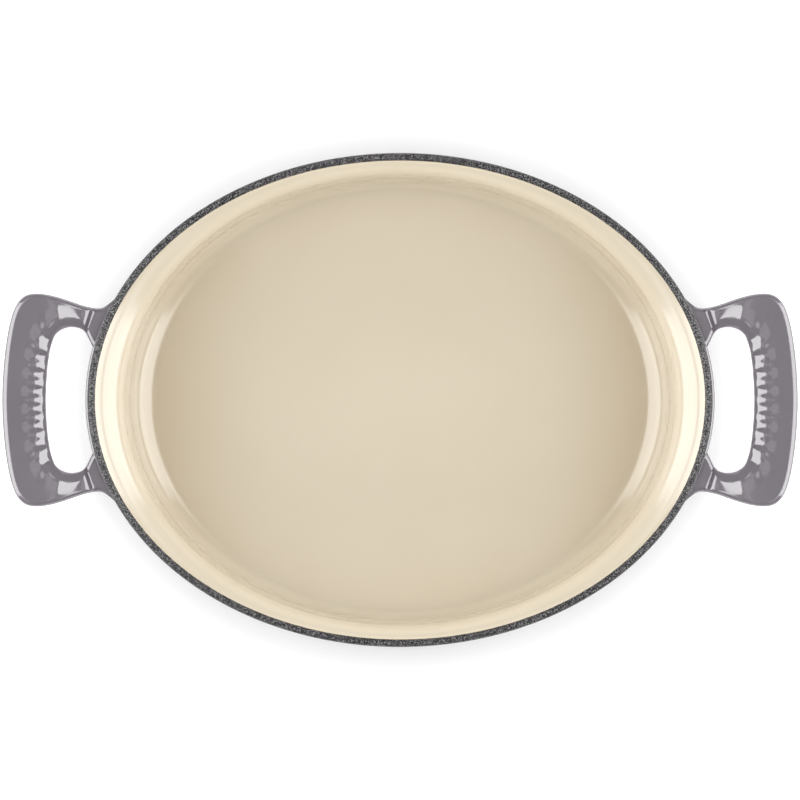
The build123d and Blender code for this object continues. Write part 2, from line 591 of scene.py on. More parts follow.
    def build(self) -> dict[Zone, bpy.types.Object]:
        """Make the four shells of the bowl.

        Returns:
            The shell of each zone.
        """
        coat, hidden = self.sizes.coat, self.hidden_spacing
        face = self.inside_rings(0.0, self.face_spacing)
        face_back = self.inside_rings(coat, hidden)
        wall = self.outside_rings(0.0, self.wall_spacing)
        wall_back = self.outside_rings(coat, hidden)
        return {
            Zone.INSIDE: self.shell("cooking_face", face, face_back, poled=True, hollow=True),
            Zone.RIM: self.shell("rim_bead", self.rim_rings(0.0), self.rim_rings(coat)),
            Zone.OUTSIDE: self.shell("outer_wall", wall, wall_back),
            Zone.BASE: self.shell(
                "underside", self.base_rings(0.0), self.base_rings(coat), poled=True
            ),
        }


@dataclass
class LoopHandle:
    """One loop handle: a shelf by the wall, two sloping arms and a level grip with finger ribs.

    Each row of loop_shares holds the hole's edge and then the outer edge, as shares of the
    handle's reach and half width, the share by which the underside has risen and the share by
    which the finger edge is full. The rows go from a root to the middle of the grip. The one
    numbered foot_row stands at the foot of the step.
    """

    sizes: DishSizes
    side: Side
    half_width: float = 48.9 * MM
    grip_level: float = 45.4 * MM
    shelf_level: float = 40.25 * MM
    root_thickness: float = 10.2 * MM
    grip_thickness: float = 9.0 * MM
    outer_round: float = 2.3 * MM
    under_round: float = 2.6 * MM
    finger_tight: float = 3.3 * MM
    finger_broad: float = 8.0 * MM
    finger_turn: float = 42.0
    plain_share: float = 0.4
    step_hollow: float = 1.9 * MM
    step_turn: float = 50.0
    step_run: float = 0.6 * MM
    step_bulge: float = 3.0 * MM
    ramp_turn: float = 12.5
    ramp_bulge: float = 12.0 * MM
    bow: float = 143.0 * MM
    rib_pitch: float = 7.45 * MM
    rib_count: int = 10
    rib_depth: float = 0.68 * MM
    rib_rise: float = 0.3
    rib_reach: float = 10.5 * MM
    rib_fade: float = 6.0 * MM
    rib_end_fade: float = 0.35
    rib_under: tuple[float, float] = (2.4 * MM, 5.2 * MM)
    foot_row: float = 4.0
    fine_before: float = 1.0 * MM
    fine_after: float = 5.0 * MM
    shelf_spacing: float = 0.8 * MM
    step_spacing: float = 0.2 * MM
    grip_spacing: float = 0.5 * MM
    top_steps: int = 16
    outer_steps: int = 12
    flank_steps: int = 4
    under_steps: int = 8
    bottom_steps: int = 10
    inner_steps: int = 3
    tight_steps: int = 9
    broad_steps: int = 16
    profile_steps: int = 3000
    loop_steps: int = 4001
    loop_shares: tuple[tuple[float, ...], ...] = (
        (-0.474, 0.344, -0.610, 0.985, 0.00, 0.00),
        (-0.316, 0.367, -0.450, 0.968, 0.00, 0.00),
        (-0.171, 0.409, -0.335, 0.926, 0.00, 0.00),
        (-0.057, 0.485, -0.230, 0.877, 0.00, 0.00),
        (0.021, 0.600, -0.109, 0.847, 0.00, 0.05),
        (0.081, 0.653, 0.050, 0.868, 0.42, 0.25),
        (0.172, 0.671, 0.195, 0.907, 0.64, 0.55),
        (0.270, 0.662, 0.408, 0.960, 0.87, 0.85),
        (0.364, 0.618, 0.690, 0.972, 0.98, 1.00),
        (0.419, 0.542, 0.866, 0.820, 1.00, 1.00),
        (0.460, 0.407, 0.952, 0.526, 1.00, 1.00),
        (0.487, 0.209, 0.988, 0.251, 1.00, 1.00),
        (0.497, 0.000, 1.000, 0.000, 1.00, 1.00),
    )

    @property
    def reach(self) -> float:
        """How far the handle reaches past the rim."""
        return self.sizes.handle_end - self.sizes.half_length

    def rows(self) -> np.ndarray:
        """Write out the table for the whole loop, from root to root.

        Returns:
            Rows of the hole's point and the outer point in metres, the rise and finger shares.
        """
        half = np.array(self.loop_shares)
        half[:, (0, 2)] = self.sizes.half_length + self.reach * half[:, (0, 2)]
        half[:, (1, 3)] *= self.half_width
        mirrored = half[-2::-1].copy()
        mirrored[:, (1, 3)] *= -1
        return np.concatenate((half, mirrored))

    @staticmethod
    def spline(rows: np.ndarray, at: np.ndarray) -> np.ndarray:
        """Run a smooth curve through rows and read it between them.

        Args:
            rows: The rows that the curve goes through.
            at: Row numbers to read it at, whole or not.

        Returns:
            One row for each of these numbers.
        """
        count = len(rows)
        beside = np.ones(count - 1)
        system = np.diag(np.full(count, 4.0)) + np.diag(beside, 1) + np.diag(beside, -1)
        system[0, :2] = (1.0, 0.0)
        system[-1, -2:] = (0.0, 1.0)
        load = np.zeros_like(rows)
        load[1:-1] = 6 * (rows[2:] - 2 * rows[1:-1] + rows[:-2])
        bend = np.linalg.solve(system, load)
        start = np.clip(at.astype(int), 0, count - 2)
        right = (at - start)[:, None]
        left = 1 - right
        curved = (left**3 - left) * bend[start] + (right**3 - right) * bend[start + 1]
        return left * rows[start] + right * rows[start + 1] + curved / 6

    def top_profile(self, along: np.ndarray) -> np.ndarray:
        """Height of an arm's top above the shelf, by the distance from the foot of its step.

        Args:
            along: Distances along the arm, from the foot of the step towards the grip.

        Returns:
            Heights from 0 on the shelf to the full height of the grip.
        """
        step_turn, ramp_turn = math.radians(self.step_turn), math.radians(self.ramp_turn)
        step, ramp = math.sin(step_turn), math.sin(ramp_turn)
        step_level, ramp_level = math.cos(step_turn), math.cos(ramp_turn)
        full = self.grip_level - self.shelf_level
        fixed = self.step_hollow * (1 - step_level) + self.step_run * step / step_level
        fixed += self.step_bulge * (ramp_level - step_level) + self.ramp_bulge * (1 - ramp_level)
        ramp_run = (full - fixed) * ramp_level / ramp
        bulge_run = self.step_bulge * (step - ramp)
        runs = (self.step_hollow * step, self.step_run, bulge_run, ramp_run, self.ramp_bulge * ramp)
        ends = np.cumsum(runs)
        fine = np.linspace(0.0, ends[-1], self.profile_steps)
        sines = np.interp(fine, (0.0, *ends), (0.0, step, step, ramp, ramp, 0.0))
        slopes = sines / np.sqrt(1 - sines**2)
        heights = np.cumsum((slopes[1:] + slopes[:-1]) / 2 * np.diff(fine))
        heights = np.concatenate(([0.0], heights))
        return np.interp(along, fine, heights * full / heights[-1])

    def ring_places(self) -> tuple[np.ndarray, np.ndarray]:
        """Choose where the rings round the loop go, closer together at the two steps.

        Returns:
            Row numbers of the rings, and how far each is past the foot of the nearer step.
        """
        fine = np.linspace(0.0, 2 * len(self.loop_shares) - 2.0, self.loop_steps)
        table = self.spline(self.rows(), fine)
        middle = (table[:, 0:2] + table[:, 2:4]) / 2
        steps = np.linalg.norm(np.diff(middle, axis=0), axis=1)
        along = np.concatenate(([0.0], np.cumsum(steps)))
        foot = np.interp(self.foot_row, fine, along)
        fine_from, fine_to = foot - self.fine_before, foot + self.fine_after
        half = along[-1] / 2
        first_half = np.concatenate((
            np.arange(0.0, fine_from, self.shelf_spacing),
            np.arange(fine_from, fine_to, self.step_spacing),
            np.arange(fine_to, half - self.grip_spacing / 2, self.grip_spacing),
        ))
        places = np.concatenate((first_half, [half], along[-1] - first_half[::-1]))
        from_foot = np.minimum(places, along[-1] - places) - foot
        return np.interp(places, along, fine), from_foot

    def section(self, width: float, top: float, bottom: float, finger: float) -> np.ndarray:
        """Draw one section across the loop, once round.

        Args:
            width: Distance between the hole's edge and the outer edge.
            top: Level of its flat top.
            bottom: Level of its flat underside.
            finger: From 0 for a plain edge on the hole's side to 1 for the full finger edge.

        Returns:
            Rows of distance from the hole's edge and level.
        """
        scale = self.plain_share + (1 - self.plain_share) * finger
        turn = math.radians(self.finger_turn)
        tight, broad = self.finger_tight * scale, self.finger_broad * scale
        edge_run = tight * (1 - math.sin(turn))
        edge_width = edge_run + broad * math.sin(turn)
        edge_drop = broad * (1 - math.cos(turn)) + tight * math.cos(turn)
        outer, under = self.outer_round, self.under_round
        meet = 90 + self.finger_turn

        def arc(x: float, z: float, radius: float, ends: tuple, steps: int) -> np.ndarray:
            """Points along an arc about a middle, between two angles from the outward way."""
            angle = np.radians(np.linspace(*ends, steps))
            return np.column_stack((x + radius * np.cos(angle), z + radius * np.sin(angle)))

        def line(x0: float, z0: float, x1: float, z1: float, steps: int) -> np.ndarray:
            """Points inside a straight stretch, without its ends."""
            share = np.linspace(0, 1, steps + 2)[1:-1, None]
            return np.array((x0, z0)) + share * np.array((x1 - x0, z1 - z0))

        return np.concatenate((
            line(edge_width, top, width - outer, top, self.top_steps),
            arc(width - outer, top - outer, outer, (90, 0), self.outer_steps),
            line(width, top - outer, width, bottom + under, self.flank_steps),
            arc(width - under, bottom + under, under, (0, -90), self.under_steps),
            line(width - under, bottom, under, bottom, self.bottom_steps),
            arc(under, bottom + under, under, (-90, -180), self.under_steps),
            line(0.0, bottom + under, 0.0, top - edge_drop, self.inner_steps),
            arc(tight, top - edge_drop, tight, (180, meet), self.tight_steps),
            arc(edge_width, top - broad, broad, (meet, 90), self.broad_steps),
        ))

    def ribbed(
        self, points: np.ndarray, hole: np.ndarray, inward: np.ndarray, across: np.ndarray
    ) -> np.ndarray:
        """Press the finger ribs into the inner edge of the grip.

        Args:
            points: Points of one ring.
            hole: The ring's point on the hole's edge.
            inward: Unit vector from the hole's edge to the outer edge.
            across: Distance of each point from the hole's edge.

        Returns:
            The moved points.
        """
        ahead = hole[0] - (self.sizes.handle_end - self.bow)
        place = math.atan2(hole[1], ahead) * math.hypot(hole[1], ahead) / self.rib_pitch
        end = self.rib_count / 2
        if abs(place) > end:
            return points
        end_fade = float(ease(end - abs(place), 0.0, self.rib_end_fade))
        wave = (math.sin(math.pi * place) ** 2 - self.rib_rise) * end_fade
        growth = ease(self.rib_reach - across, 0.0, self.rib_fade)
        under = 1 - ease(self.grip_level - points[:, 2], *self.rib_under)
        depth = self.rib_depth * wave * growth * under
        push = (inward + np.array((0.0, 0.0, -1.0))) / math.sqrt(2)
        return points + depth[:, None] * push

    def loft(self) -> tuple[np.ndarray, int]:
        """Place the points of every ring, from root to root.

        Returns:
            Rows of X, Y and Z, one ring after the other, and how many each ring has.
        """
        places, from_foot = self.ring_places()
        table = self.spline(self.rows(), places)
        tops = self.shelf_level + self.top_profile(np.maximum(from_foot, 0.0))
        low_root = self.shelf_level - self.root_thickness
        low_grip = self.grip_level - self.grip_thickness
        bottoms = low_root + np.clip(table[:, 4], 0, 1) * (low_grip - low_root)
        rings = []
        for row, top, bottom in zip(table, tops, bottoms):
            hole, outer = row[0:2], row[2:4]
            width = float(np.linalg.norm(outer - hole))
            inward = np.array((*(outer - hole) / width, 0.0))
            flat = self.section(width, top, bottom, float(np.clip(row[5], 0, 1)))
            ring = np.array((*hole, 0.0)) + flat[:, :1] * inward
            ring[:, 2] = flat[:, 1]
            rings.append(self.ribbed(ring, hole, inward, flat[:, 0]))
        points = np.concatenate(rings)
        points[:, 0] *= self.side.value
        return points, len(rings[0])

    def build(self) -> bpy.types.Object:
        """Make the closed loop, with both ends still inside the wall.

        Returns:
            The handle.
        """
        points, around = self.loft()
        faces = capped_faces(len(points) // around, around)
        if self.side is Side.RIGHT:
            faces = turned(faces)
        return make_mesh(f"{self.side.name.lower()}_handle", points, faces)


@dataclass
class RootFillets:
    """The fillets where the handles run into the bowl, made by swelling both surfaces there.

    It also raises the low ledge on the wall that closes each finger gap. The heights of that
    ledge are given as depths below the grey coat's border, from where it starts to where it
    is full.
    """

    sizes: DishSizes
    hole_radius: float = 5.0 * MM
    outer_radius: float = 6.0 * MM
    top_radius: float = 2.3 * MM
    side_blend: float = 0.3
    top_blend: tuple[float, float] = (0.3, 0.85)
    overlap_share: float = 0.15
    fade_depth: float = 1.2 * MM
    border_fade: float = 0.9 * MM
    near_share: float = 0.7
    gap_ledge: float = 1.0 * MM
    gap_half_width: float = 30.0 * MM
    gap_fade: float = 8.0 * MM
    ledge_below: tuple[float, float] = (4.5 * MM, 1.2 * MM)
    ledge_above: tuple[float, float] = (0.6 * MM, 0.05 * MM)

    def swell(self, distance: np.ndarray, radius: np.ndarray) -> np.ndarray:
        """Work out how far a surface swells near the one that it meets, and less inside it.

        Args:
            distance: Distance of each point from the other surface, negative inside it.
            radius: Fillet radius at each point.

        Returns:
            How far each point moves along its normal.
        """
        short = radius - np.clip(distance, self.overlap_share * radius, radius)
        buried = np.clip(1 + distance / self.fade_depth, 0.0, 1.0)
        return (radius - np.sqrt(radius**2 - short**2)) * buried

    def radius(self, points: np.ndarray, normals: np.ndarray) -> np.ndarray:
        """Choose the fillet radius: small on top, larger in the hole, largest outside.

        Args:
            points: Rows of X, Y and Z.
            normals: The handle's normal at each point.

        Returns:
            The radius at each point.
        """
        outward = normals[:, 1] * np.sign(points[:, 1])
        outer = ease(outward, -self.side_blend, self.side_blend)
        side = self.hole_radius + (self.outer_radius - self.hole_radius) * outer
        return side + (self.top_radius - side) * ease(normals[:, 2], *self.top_blend)

    @staticmethod
    def arrays(piece: bpy.types.Object) -> tuple[np.ndarray, np.ndarray]:
        """Read a piece's vertices.

        Args:
            piece: The piece.

        Returns:
            Their places and their normals.
        """
        count = len(piece.data.vertices)
        points, normals = np.empty(count * 3), np.empty(count * 3)
        piece.data.vertices.foreach_get("co", points)
        piece.data.vertex_normals.foreach_get("vector", normals)
        return points.reshape(-1, 3), normals.reshape(-1, 3)

    @staticmethod
    def tree(pieces: list[bpy.types.Object], outward: bool = False) -> BVHTree:
        """Make a search tree over the faces of some pieces.

        Args:
            pieces: The pieces.
            outward: True to keep only the faces that face away from the middle of the dish.

        Returns:
            The tree.
        """
        points: list[Vector] = []
        faces: list[tuple[int, ...]] = []
        for piece in pieces:
            first = len(points)
            points += [vertex.co.copy() for vertex in piece.data.vertices]
            for face in piece.data.polygons:
                if not outward or face.normal.xy.dot(face.center.xy) > 0:
                    faces.append(tuple(first + number for number in face.vertices))
        return BVHTree.FromPolygons(points, faces)

    def apply(
        self, wall: bpy.types.Object, rim: bpy.types.Object, handles: list[bpy.types.Object]
    ) -> None:
        """Swell the bowl towards the handles and the handles towards the bowl.

        Args:
            wall: The outer wall of the bowl.
            rim: The bead along its rim.
            handles: The two handles.
        """
        bowl_tree, handle_tree = self.tree([wall, rim], outward=True), self.tree(handles)
        wall_points, wall_normals = self.arrays(wall)
        moved = wall_points + self.wall_moves(wall_points, wall_normals, handle_tree)
        for handle in handles:
            points, normals = self.arrays(handle)
            distance, _ = closest(bowl_tree, points, self.outer_radius)
            amount = self.swell(distance, self.radius(points, normals))
            handle.data.vertices.foreach_set("co", (points + amount[:, None] * normals).ravel())
            handle.data.update()
        wall.data.vertices.foreach_set("co", moved.ravel())
        wall.data.update()

    def wall_moves(self, points: np.ndarray, normals: np.ndarray, tree: BVHTree) -> np.ndarray:
        """Work out how the outer wall moves, for the fillets and for the ledges.

        Args:
            points: Places of the wall's vertices.
            normals: Their normals.
            tree: The search tree over the handles.

        Returns:
            A move for each vertex.
        """
        border = self.sizes.grey_border
        near = np.abs(points[:, 0]) > self.sizes.half_length * self.near_share
        moves = np.zeros_like(points)
        distance, facing = closest(tree, points[near], self.outer_radius)
        fade = 1 - ease(points[near][:, 2], border - self.border_fade, border)
        amount = self.swell(distance, self.radius(points[near], facing)) * fade
        moves[near] = amount[:, None] * normals[near]
        gap_end = self.gap_half_width
        across = 1 - ease(np.abs(points[:, 1]), gap_end - self.gap_fade, gap_end)
        below, above = (
            ease(points[:, 2], border - start, border - full)
            for start, full in (self.ledge_below, self.ledge_above)
        )
        band = below * (1 - above)
        outward = np.sign(points[:, 0]) * self.gap_ledge * across * band
        moves[:, 0] += np.where(near, outward, 0.0)
        return moves


@dataclass
class RootTrim:
    """The cut that ends both handles inside the wall, where nothing of them shows."""

    sizes: DishSizes
    spokes: int = 160
    spacing: float = 1.5 * MM
    softness: float = 0.5 * MM
    lid_rise: float = 10.0 * MM
    floor_share: float = 0.5

    def plug(self) -> bpy.types.Object:
        """Make a plug that fills the dish as far as the middle of its wall.

        Returns:
            The plug, a little higher than the dish.
        """
        bowl = Bowl(self.sizes, spokes=self.spokes)
        rings = soften(bowl.face.ovals(self.sizes.wall / 2), self.spacing, self.softness)
        lid = rings[0].copy()
        lid[2] += self.lid_rise
        floor = rings[-1] * np.array((self.floor_share, self.floor_share, 1.0))
        rings = np.concatenate((lid[None], rings, floor[None]))
        faces = turned(capped_faces(len(rings), self.spokes))
        return make_mesh("hollow_plug", bowl.spread(rings), faces)

    def apply(self, handles: list[bpy.types.Object]) -> None:
        """Cut the plug's shape out of the handles.

        Args:
            handles: The two handles.
        """
        plug = self.plug()
        for handle in handles:
            cut = handle.modifiers.new("trim", "BOOLEAN")
            cut.operation = "DIFFERENCE"
            cut.solver = "EXACT"
            cut.object = plug
            evaluated = handle.evaluated_get(bpy.context.evaluated_depsgraph_get())
            trimmed = bpy.data.meshes.new_from_object(evaluated)
            handle.modifiers.clear()
            handle.data = trimmed
        bpy.data.objects.remove(plug)


class Signal:
    """A value in a shader. Each operator adds the Math node that works it out."""

    def __init__(self, shader: "Shader", socket: bpy.types.NodeSocket) -> None:
        """Wrap one output socket."""
        self.shader = shader
        self.socket = socket

    def _with(self, operation: str, *values: "Signal | float") -> "Signal":
        """Add a Math node on some values."""
        node = self.shader.node(
            "ShaderNodeMath", {"operation": operation}, dict(enumerate(values))
        )
        return Signal(self.shader, node.outputs[0])

    def __add__(self, other: "Signal | float") -> "Signal":
        """Add."""
        return self._with("ADD", self, other)

    def __radd__(self, other: float) -> "Signal":
        """Add, with the number on the left."""
        return self._with("ADD", other, self)

    def __sub__(self, other: "Signal | float") -> "Signal":
        """Subtract."""
        return self._with("SUBTRACT", self, other)

    def __rsub__(self, other: float) -> "Signal":
        """Subtract from a number."""
        return self._with("SUBTRACT", other, self)

    def __mul__(self, other: "Signal | float") -> "Signal":
        """Multiply."""
        return self._with("MULTIPLY", self, other)

    def __rmul__(self, other: float) -> "Signal":
        """Multiply, with the number on the left."""
        return self._with("MULTIPLY", other, self)

    def between(self, low: float, high: float) -> "Signal":
        """Rise smoothly from 0 at low to 1 at high."""
        node = self.shader.node(
            "ShaderNodeMapRange",
            {"interpolation_type": "SMOOTHSTEP"},
            {"Value": self, "From Min": low, "From Max": high},
        )
        return Signal(self.shader, node.outputs["Result"])


class Shader:
    """A material under construction, with its Principled shader."""

    def __init__(self, name: str) -> None:
        """Start a material with nothing but an output and a Principled shader.

        Args:
            name: Name of the material.
        """
        self.material = bpy.data.materials.new(name)
        self.material.use_nodes = True
        self.tree = self.material.node_tree
        self.tree.nodes.clear()
        output = self.tree.nodes.new("ShaderNodeOutputMaterial")
        self.surface = self.tree.nodes.new("ShaderNodeBsdfPrincipled")
        self.tree.links.new(self.surface.outputs[0], output.inputs["Surface"])

    def node(self, kind: str, settings: dict, inputs: dict) -> bpy.types.Node:
        """Add a node.

        Args:
            kind: The node's type.
            settings: Its settings, set before its sockets.
            inputs: A value, a Signal or an output socket for each named or numbered input.

        Returns:
            The node.
        """
        made = self.tree.nodes.new(kind)
        for name, value in settings.items():
            setattr(made, name, value)
        for name, value in inputs.items():
            self.feed(made.inputs[name], value)
        return made

    def feed(self, socket: bpy.types.NodeSocket, value: object) -> None:
        """Link a Signal or a socket to an input, or set the input to a plain value.

        Args:
            socket: The input.
            value: What it takes.
        """
        if isinstance(value, Signal):
            value = value.socket
        if isinstance(value, bpy.types.NodeSocket):
            self.tree.links.new(value, socket)
        else:
            socket.default_value = value

    def set(self, **values: object) -> None:
        """Feed the Principled shader's inputs, named with underscores for their spaces."""
        for name, value in values.items():
            self.feed(self.surface.inputs[name.replace("_", " ")], value)

    def place(self) -> bpy.types.NodeSocket:
        """The place on the object, in metres."""
        return self.node("ShaderNodeTexCoord", {}, {}).outputs["Object"]

    def axis(self, name: str) -> Signal:
        """One coordinate of the place on the object."""
        node = self.node("ShaderNodeSeparateXYZ", {}, {0: self.place()})
        return Signal(self, node.outputs[name])

    def noise(self, per_metre: float, detail: float, roughness: float = 0.5) -> Signal:
        """Add cloudy noise.

        Args:
            per_metre: How many lumps go to a metre.
            detail: How many finer layers it has.
            roughness: How strong these are.

        Returns:
            A value from 0 to 1.
        """
        inputs = {
            "Vector": self.place(),
            "Scale": per_metre,
            "Detail": detail,
            "Roughness": roughness,
        }
        return Signal(self, self.node("ShaderNodeTexNoise", {}, inputs).outputs[0])

    def mix(self, share: Signal, first: object, second: object) -> bpy.types.NodeSocket:
        """Mix two colours. The Mix node's sockets for colours are told apart by number.

        Args:
            share: From 0 for the first colour to 1 for the second.
            first: A colour, or the socket that gives it.
            second: The other colour.

        Returns:
            The socket of the mixed colour.
        """
        inputs = {0: share, 6: first, 7: second}
        node = self.node("ShaderNodeMix", {"data_type": "RGBA", "clamp_factor": True}, inputs)
        return node.outputs[2]

    def bump(self, height: Signal, strength: float, distance: float) -> bpy.types.NodeSocket:
        """A normal that follows a height."""
        inputs = {"Height": height, "Strength": strength, "Distance": distance}
        return self.node("ShaderNodeBump", {}, inputs).outputs["Normal"]


@dataclass(frozen=True)
class SandEnamel:
    """The glossy sand-coloured coat on the cooking face.

    Its colour darkens in the round corner between floor and wall, more so at the two ends: painted
    shade, where the walls shade the floor.
    """

    colour: tuple[float, ...] = (0.70, 0.62, 0.485, 1.0)
    # Darker colour that the random clouds mix in, and the painted shade in the corner between floor
    # and wall.
    darker_tone_and_shade: tuple[float, ...] = (0.61, 0.51, 0.345, 1.0)
    border: tuple[float, ...] = (0.03, 0.028, 0.026, 1.0)
    roughness: float = 0.2
    border_roughness: float = 0.3
    floor_rise: float = 0.5 * MM
    floor_fade: float = 3.0 * MM
    shade_top_share: float = 0.6
    corner_shade_depth: float = 0.08
    end_shade_depth: float = 0.45
    end_shade_shares: tuple[float, float] = (0.4, 0.78)
    cloud_depth: float = 0.1
    border_wander: float = 0.5 * MM
    border_edge: tuple[float, float] = (0.18 * MM, 0.28 * MM)

    def material(self, sizes: DishSizes) -> bpy.types.Material:
        """Make the material, with a ragged edge to the black border.

        Args:
            sizes: Sizes of the dish.

        Returns:
            The material.
        """
        shader = Shader("sand_enamel")
        level = shader.axis("Z")
        foot = sizes.floor_level + self.floor_rise
        shade_top = sizes.floor_level + sizes.corner_radius * self.shade_top_share
        # Painted shade: darker towards the round corner between floor and wall, much more so at the
        # two ends, where the walls shade the floor from the lamps.
        painted_corner_shade = 1 - level.between(foot, shade_top)
        cloud = shader.noise(per_metre=28.0, detail=3.0)
        along = shader.axis("X")
        end_from, end_to = (share * sizes.half_length for share in self.end_shade_shares)
        ends = (along * along).between(end_from**2, end_to**2)
        clouds = cloud.between(0.3, 0.75) * self.cloud_depth
        # The mix share holds random clouds plus that painted shade.
        cloud_and_shade = clouds + painted_corner_shade * (ends * self.end_shade_depth + self.corner_shade_depth)
        colour = shader.mix(cloud_and_shade, self.colour, self.darker_tone_and_shade)
        ragged = shader.noise(per_metre=1900.0, detail=2.0)
        edge = level + ragged * self.border_wander
        dark = edge.between(*(sizes.sand_border + rise for rise in self.border_edge))
        skin = shader.noise(per_metre=60.0, detail=1.0)
        on_floor = 1 - level.between(foot, sizes.floor_level + self.floor_fade)
        shader.set(
            Base_Color=shader.mix(dark, colour, self.border),
            Roughness=self.roughness + cloud * 0.04 + dark * self.border_roughness,
            Normal=shader.bump(skin * on_floor, strength=0.02, distance=0.4 * MM),
            IOR=1.6,
            Coat_Weight=1.0,
            Coat_Roughness=0.12,
            Coat_IOR=1.5,
        )
        return shader.material


@dataclass(frozen=True)
class GreyEnamel:
    """The glossy grey coat on the outside and round the handles."""

    colour: tuple[float, ...] = (0.186, 0.168, 0.190, 1.0)
    thin: tuple[float, ...] = (0.206, 0.189, 0.209, 1.0)
    roughness: float = 0.09

    def material(self) -> bpy.types.Material:
        """Make the material: slightly cloudy, with the faint skin of a sprayed and fired coat.

        Returns:
            The material.
        """
        shader = Shader("grey_enamel")
        cloud = shader.noise(per_metre=45.0, detail=3.0)
        skin = shader.noise(per_metre=320.0, detail=2.0)
        shader.set(
            Base_Color=shader.mix(cloud.between(0.35, 0.8) * 0.5, self.colour, self.thin),
            Roughness=self.roughness + cloud * 0.04,
            Normal=shader.bump(skin, strength=0.03, distance=0.4 * MM),
            IOR=1.6,
            Coat_Weight=1.0,
            Coat_Roughness=0.05,
            Coat_IOR=1.85,
        )
        return shader.material


@dataclass(frozen=True)
class RimEnamel:
    """The satin black coat over the bead, with pale specks painted in as painted sparkle of its
    rough satin surface.
    """

    colour: tuple[float, ...] = (0.008, 0.008, 0.009, 1.0)
    # Pale colour of the painted sparkle specks.
    sparkle_colour: tuple[float, ...] = (0.24, 0.23, 0.235, 1.0)
    roughness: float = 0.3

    def material(self) -> bpy.types.Material:
        """Make the material: pale specks of painted sparkle in a black ground, with a grainy skin.

        Returns:
            The material.
        """
        shader = Shader("black_rim_enamel")
        grain = shader.noise(per_metre=1100.0, detail=2.0, roughness=0.6)
        # Painted sparkle: pale specks in the base colour stand in for the glints of the rough satin
        # surface.
        painted_sparkle = shader.noise(per_metre=2100.0, detail=1.0).between(0.50, 0.64)
        shader.set(
            Base_Color=shader.mix(painted_sparkle, self.colour, self.sparkle_colour),
            Roughness=self.roughness + grain * 0.2,
            Normal=shader.bump(grain, strength=0.8, distance=0.3 * MM),
            IOR=1.5,
        )
        return shader.material


@dataclass(frozen=True)
class GroundCoat:
    """The matte black ground coat under the dish."""

    colour: tuple[float, ...] = (0.014, 0.014, 0.015, 1.0)
    worn: tuple[float, ...] = (0.05, 0.048, 0.046, 1.0)
    roughness: float = 0.62

    def material(self) -> bpy.types.Material:
        """Make the material: matte, grainy and a little rubbed.

        Returns:
            The material.
        """
        shader = Shader("black_ground_coat")
        grain = shader.noise(per_metre=900.0, detail=4.0, roughness=0.6)
        rubbed = shader.noise(per_metre=35.0, detail=5.0).between(0.5, 0.75)
        shader.set(
            Base_Color=shader.mix(rubbed * 0.6, self.colour, self.worn),
            Roughness=self.roughness + grain * 0.2,
            Normal=shader.bump(grain, strength=0.4, distance=0.2 * MM),
        )
        return shader.material


@dataclass(frozen=True)
class CastIron:
    """The bare grey iron under the coats."""

    colour: tuple[float, ...] = (0.075, 0.074, 0.076, 1.0)
    pale: tuple[float, ...] = (0.15, 0.148, 0.15, 1.0)
    roughness: float = 0.55

    def material(self) -> bpy.types.Material:
        """Make the material: the sandy skin of a casting.

        Returns:
            The material.
        """
        shader = Shader("cast_iron")
        grain = shader.noise(per_metre=700.0, detail=5.0, roughness=0.65)
        shader.set(
            Base_Color=shader.mix(grain.between(0.4, 0.7), self.colour, self.pale),
            Metallic=0.85,
            Roughness=self.roughness + grain * 0.2,
            Normal=shader.bump(grain, strength=0.5, distance=0.3 * MM),
        )
        return shader.material


@dataclass(frozen=True)
class Softbox:
    """One upright lamp panel beside the dish, by the heights and bearings that it spans from it.

    Bearings run anticlockwise from +X. A panel that isn't mirrored lights the dish but doesn't
    show in its gloss.
    """

    name: str
    heights: tuple[float, float]
    bearings: tuple[float, float]
    radiance: float
    distance: float = 1.2
    mirrored: bool = True

    def build(self) -> bpy.types.Object:
        """Make the panel, square to the line to it.

        Returns:
            The lamp.
        """
        first, last = self.bearings
        bearing = math.radians((first + last) / 2)
        bottom, top = (self.distance * math.tan(math.radians(height)) for height in self.heights)
        out = Vector((math.cos(bearing), math.sin(bearing), 0.0))
        lamp = bpy.data.lights.new(self.name, "AREA")
        lamp.shape = "RECTANGLE"
        lamp.size = 2 * self.distance * math.tan(math.radians(last - first) / 2)
        lamp.size_y = top - bottom
        lamp.energy = self.radiance * math.pi * lamp.size * lamp.size_y
        holder = bpy.data.objects.new(self.name, lamp)
        holder.location = out * self.distance
        holder.location.z = (bottom + top) / 2
        holder.rotation_mode = "QUATERNION"
        holder.rotation_quaternion = out.to_track_quat("Z", "Y")
        holder.visible_glossy = self.mirrored
        bpy.context.scene.collection.objects.link(holder)
        return holder


